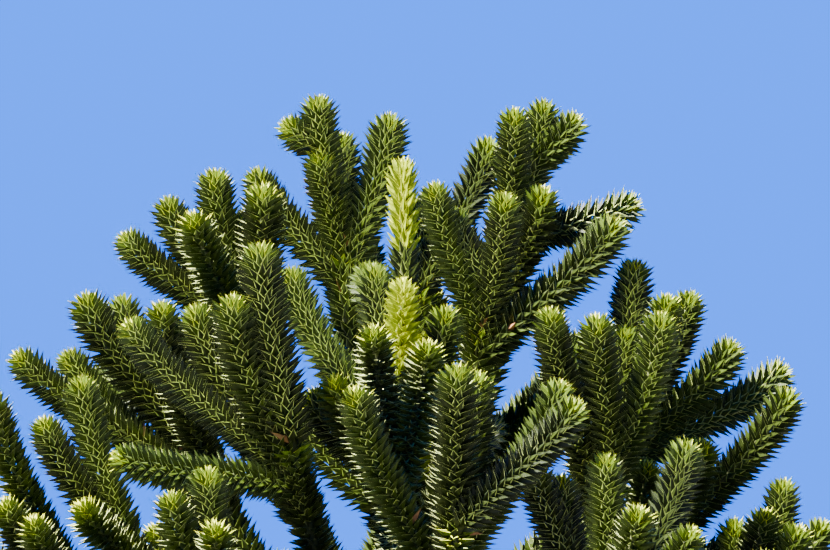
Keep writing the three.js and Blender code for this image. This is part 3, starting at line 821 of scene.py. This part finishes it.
def bark_finish():
    """Grey-brown bark: bands round the stem, a finer grain and dust of lichen."""
    finish = Finish("trunk_bark", BARK_ROUGHNESS)
    bands = finish.noise(scale=9.0, detail=5.0, stretch=(1, 1, 7))
    grain = finish.noise(scale=60.0, detail=6.0, stretch=(1, 1, 3))
    patches = finish.noise(scale=14.0, detail=4.0)
    edges = [(0.56, (0, 0, 0, 1)), (0.66, (1, 1, 1, 1))]
    lichen = finish.node("ShaderNodeValToRGB", {"stops": edges}, {0: patches})
    banded = finish.mix(bands, colour("30261d"), colour("645546"))
    grained = finish.mix(grain, colour("1c1611"), colour("75644f"))
    bark = finish.mix(GRAINED_SHARE, banded, grained)
    finish.paint(finish.mix(lichen * LICHEN_SHARE, bark, colour("5f6547")))
    finish.relief(grain + bands, BARK_GRAIN)
    return finish.material


LEAF_FINISHES = [
    leaf_finish("leaf_deep_green", "0c1101", "161e02"),
    leaf_finish("leaf_green", "111801", "1e2703"),
    leaf_finish("leaf_fresh_green", "1a2402", "293504"),
    leaf_finish("leaf_young_green", "243202", "384604"),
    leaf_finish("leaf_bud_green", "324302", "485903"),
    leaf_finish("leaf_dead_brown", "5a3c22", "785536"),
    leaf_finish("leaf_leader_green", "384804", "909c06"),
    # The margins' colours are partly the leaves' own pale rims and partly painted highlight, brightened to
    # stand for the glint of sunlit edges.
    plain_finish("margin_pale", "bcc878", MARGIN_ROUGHNESS),
    plain_finish("margin_young", "c4ca30", MARGIN_ROUGHNESS),
    plain_finish("margin_leader", "ecec14", MARGIN_ROUGHNESS),
]
DEEP, GREEN, FRESH, YOUNG, BUD, DEAD, LEADER, PALE_EDGE_WITH_GLINT, YOUNG_EDGE_WITH_GLINT, LEADER_EDGE_WITH_GLINT = range(len(LEAF_FINISHES))
# The finish of a leaf's margins, by that of its blade: its own pale rim, brightened with a painted highlight
# of sunlit edges. A dead leaf has none of its own.
MARGIN_OF = np.array([PALE_EDGE_WITH_GLINT, PALE_EDGE_WITH_GLINT, PALE_EDGE_WITH_GLINT, YOUNG_EDGE_WITH_GLINT, YOUNG_EDGE_WITH_GLINT, DEAD, LEADER_EDGE_WITH_GLINT])


def dealt_finish(tone):
    """Deals the greens of one spray: its own tone, and paler ones towards its tip."""

    def finish(back, luck):
        kind = np.full(len(back), tone)
        kind[(luck > PALER_LUCK) & (tone < FRESH)] = tone + 1
        kind[(luck < DEAD_LUCK) & (back > DEAD_FROM)] = DEAD
        for share, young in zip(YOUNG_SHARES, (FRESH, YOUNG, BUD)):
            kind[back < YOUNG_LENGTH * share] = young
        return kind

    return finish


def leader_finish(back, luck):
    """A bright end with green behind it."""
    return np.where(back < LEADER_BRIGHT, LEADER, GREEN)


def trunk_leaf_finish(back, luck):
    """Bright where the trunk grew this year, and green below."""
    return np.where(back < TRUNK_TOP - TRUNK_YOUNG_FROM, LEADER, GREEN)


def tone_of(seed):
    """One of the three darker greens: deep, green or fresh."""
    return DEEP + int(TONE_MIDDLE + TONE_SWING * chance(seed, FOR_TONE))


def leaf_of(seed, growth=1.0):
    """The size and spread of the leaves of one shoot."""
    growth = growth * (1 + GIRTH_JITTER * chance(seed, FOR_GIRTH))
    return LEAF_LENGTH * growth, LEAF_HALF_WIDTH * growth, LEAF_SPREAD


def dressed(mass, seed):
    """The sprays and stems of a mass, with the next seed. The limb's spray comes first, then the shoots'."""
    whorl = mass["name"].startswith("whorl")
    step, growth = (WHORL_LEAF_STEP, WHORL_LEAF_GROWTH) if whorl else (UPPER_LEAF_STEP, 1.0)
    limb, bare = mass["limb"], mass["bare"]
    radii = (BOUGH_TIP_RADIUS if bare else limb_foot_radius(limb), STEM_RADIUS)
    length = limb.lengths()[-1]
    begin = max(bare * length, LIMB_BARE_LENGTH)
    sprays = [Spray(limb, begin, length, False, radii, step * LIMB_STEP_SHARE, leaf_of(seed, growth), seed,
                    dealt_finish(tone_of(seed)))]
    stems = [tube_arrays(limb, bare, 1.0, radii, LIMB_MESH)]
    for order, shoot in enumerate([curve for _, curve in mass["shoots"]] + mass["twigs"]):
        seed += 1
        place = mass["name"], order
        leaf = leaf_of(seed, growth * LEAF_GROWTHS.get(place, 1.0))
        finish = leader_finish if place in NEW_SHOOTS else dealt_finish(tone_of(seed))
        stop = shoot.lengths(CURVE_STEPS)[-1] - TIP_HEIGHT
        radii = (STEM_RADIUS, STEM_RADIUS)
        sprays.append(Spray(shoot, SHOOT_BARE_LENGTH, stop, True, radii, step, leaf, seed, finish))
        radii = (STEM_RADIUS, TIP_STEM_RADIUS)
        stems.append(tube_arrays(shoot, 0.0, stop / (stop + TIP_HEIGHT), radii, SHOOT_MESH))
    return sprays, stems, seed + 1


def add_leaves(name, sprays, slot="leaves", replaced=()):
    vertices, faces, kinds = leaf_arrays(sprays)
    add_piece(name, vertices, faces, LEAF_FINISHES, slot, kinds, False, replaced)


def mass_leaves(masses):
    """Joins the leaves of neighbouring masses into pieces below the limit on faces."""
    groups, faces = [[]], 0
    for mass in masses:
        more = LEAF_FACES * sum(len(spray.points) for spray in mass["sprays"])
        if faces + more > FULL_PIECE:
            groups.append([])
            faces = 0
        groups[-1].append(mass)
        faces += more
    for number, group in enumerate(groups, 1):
        sprays = [spray for mass in group for spray in mass["sprays"]]
        add_leaves(f"leaves_{number}", sprays, replaced=[mass["name"] for mass in group])


def leader_leaves(curve):
    """The bright leaves of the leading shoot."""
    stop = curve.lengths()[-1] - LEADER_TIP_HEIGHT
    radii = (STEM_RADIUS, STEM_RADIUS)
    spray = Spray(curve, 0.0, stop, True, radii, LEADER_LEAF_STEP, LEADER_LEAF, LEADER_SEED, leader_finish)
    add_leaves("leader_leaves", [spray], "new_leaves", ["leader"])


def trunk_leaves():
    """The leaves that the upper trunk still has."""
    line = Bend(UP * TRUNK_LEAVES_FROM, UP, UP * TRUNK_TOP, UP)
    radii = (trunk_radius(TRUNK_LEAVES_FROM) / LEAF_ROOT_SHARE, TRUNK_TOP_RADIUS / LEAF_ROOT_SHARE)
    spray = Spray(line, 0.0, TRUNK_TOP - TRUNK_LEAVES_FROM, False, radii, TRUNK_LEAF_STEP, leaf_of(0),
                  TRUNK_SEED, trunk_leaf_finish)
    add_leaves("trunk_leaves", [spray])


def twig_bark(stems):
    """The stems under the leaves."""
    finish = leaf_finish("twig_bark", "22260c", "363a14", TWIG_ROUGHNESS)
    add_piece("twigs", *joined(stems), [finish], "bark", None, True)


def trunk_bark(finish):
    """The trunk's own shape with the rings and scars of old leaves in relief."""
    sides, rings = TRUNK_MESH
    height = np.linspace(0, TRUNK_TOP, rings)[:, None]
    angle = (np.arange(sides) * 2 * math.pi / sides)[None, :]
    wander = RING_WANDER * np.sin(RING_LOBES * angle) + SWAY * np.sin(height / SWAY_PITCH)
    ridges = np.sin(height / RING_PITCH + wander)
    rightward = np.sin(SCAR_COUNTS[0] * angle + height / SCAR_PITCHES[0])
    leftward = np.sin(SCAR_COUNTS[1] * angle - height / SCAR_PITCHES[1])
    shape = trunk_radius(height)
    depth = np.clip(shape / FULL_RELIEF_RADIUS, LEAST_RELIEF, 1)
    radius = shape + (RING_DEPTH * ridges + SCAR_DEPTH * rightward * leftward) * depth
    around = [radius * np.cos(angle), radius * np.sin(angle), np.broadcast_to(height, radius.shape)]
    vertices = np.stack(around, axis=2).reshape(-1, 3)
    skin = closed_skin(vertices, rings, sides, UP * TRUNK_TOP)
    add_piece("trunk_bark", *skin, [finish], "bark", None, True, ["trunk"])


def bough_bark(masses, finish):
    """The bare feet of the lowest boughs."""
    tubes, names = [], []
    for mass in masses:
        if not mass["bare"]:
            continue
        radii = (limb_foot_radius(mass["limb"]), BOUGH_TIP_RADIUS)
        tubes.append(tube_arrays(mass["limb"], 0.0, mass["bare"], radii, BOUGH_MESH))
        names.append(f"{mass['name']}_bough")
    add_piece("bough_bark", *joined(tubes), [finish], "bark", None, True, names)


def pale_floor():
    turns = np.linspace(0, 2 * math.pi, FLOOR_SIDES, endpoint=False)
    rim = [(FLOOR_RADIUS * math.cos(turn), FLOOR_RADIUS * math.sin(turn), 0) for turn in turns]
    mesh = bpy.data.meshes.new("floor")
    mesh.from_pydata(rim, [], [list(range(FLOOR_SIDES))])
    mesh.materials.append(plain_finish("floor_pale", FLOOR_SHADE, FLOOR_ROUGHNESS))
    floor = bpy.data.objects.new("floor", mesh)
    return floor


def sunlight():
    lamp = bpy.data.lights.new("key", "SUN")
    lamp.energy = SUN_STRENGTH
    lamp.angle = math.radians(SUN_WIDTH)
    lamp.color = SUN_COLOUR
    sun = bpy.data.objects.new("key", lamp)
    sun.rotation_euler = Vector(SUN_COURSE).to_track_quat("-Z", "Y").to_euler()
    return sun


def eye_below_crown():
    """The camera, which looks at the crown from below."""
    camera = bpy.data.cameras.new("camera")
    camera.sensor_width = SENSOR
    camera.lens = CAMERA_FOCUS * SENSOR / PICTURE_WIDTH
    camera.clip_end = CAMERA_REACH
    eye = bpy.data.objects.new("camera", camera)
    look = np.array([0, math.cos(math.radians(CAMERA_RISE)), math.sin(math.radians(CAMERA_RISE))])
    eye.location = Vector((CAMERA_TARGET - look * CAMERA_DISTANCE) * METRES)
    eye.rotation_euler = Vector(look).to_track_quat("-Z", "Y").to_euler()
    return eye


def studio():
    """Floor, sky, sunlight and the camera."""
    world = bpy.data.worlds.new("pale_sky")
    world.use_nodes = True
    world.node_tree.nodes["Background"].inputs["Color"].default_value = SKY_COLOUR
    bpy.context.scene.world = world
    eye = eye_below_crown()
    for thing in (pale_floor(), sunlight(), eye):
        bpy.context.scene.collection.objects.link(thing)
    bpy.context.scene.camera = eye


leader_curve = Bend(UP * TRUNK_TOP, UP, np.array([LEADER_LEAN, 0, TREE_HEIGHT - LEADER_FALL]), UP)
masses = upper_masses() + whorl_masses()
clear_shoots(masses, leader_curve)
tip_forks(masses)
finer_twigs(masses, leader_curve)

seed = 1
stems = [tube_arrays(leader_curve, 0.0, LEADER_STEM_SHARE, (TRUNK_TOP_RADIUS, TIP_STEM_RADIUS), LEADER_MESH)]
for mass in masses:
    mass["sprays"], more_stems, seed = dressed(mass, seed)
    stems += more_stems
mass_leaves(masses)
leader_leaves(leader_curve)
trunk_leaves()
twig_bark(stems)
bark = bark_finish()
trunk_bark(bark)
bough_bark(masses, bark)
studio()
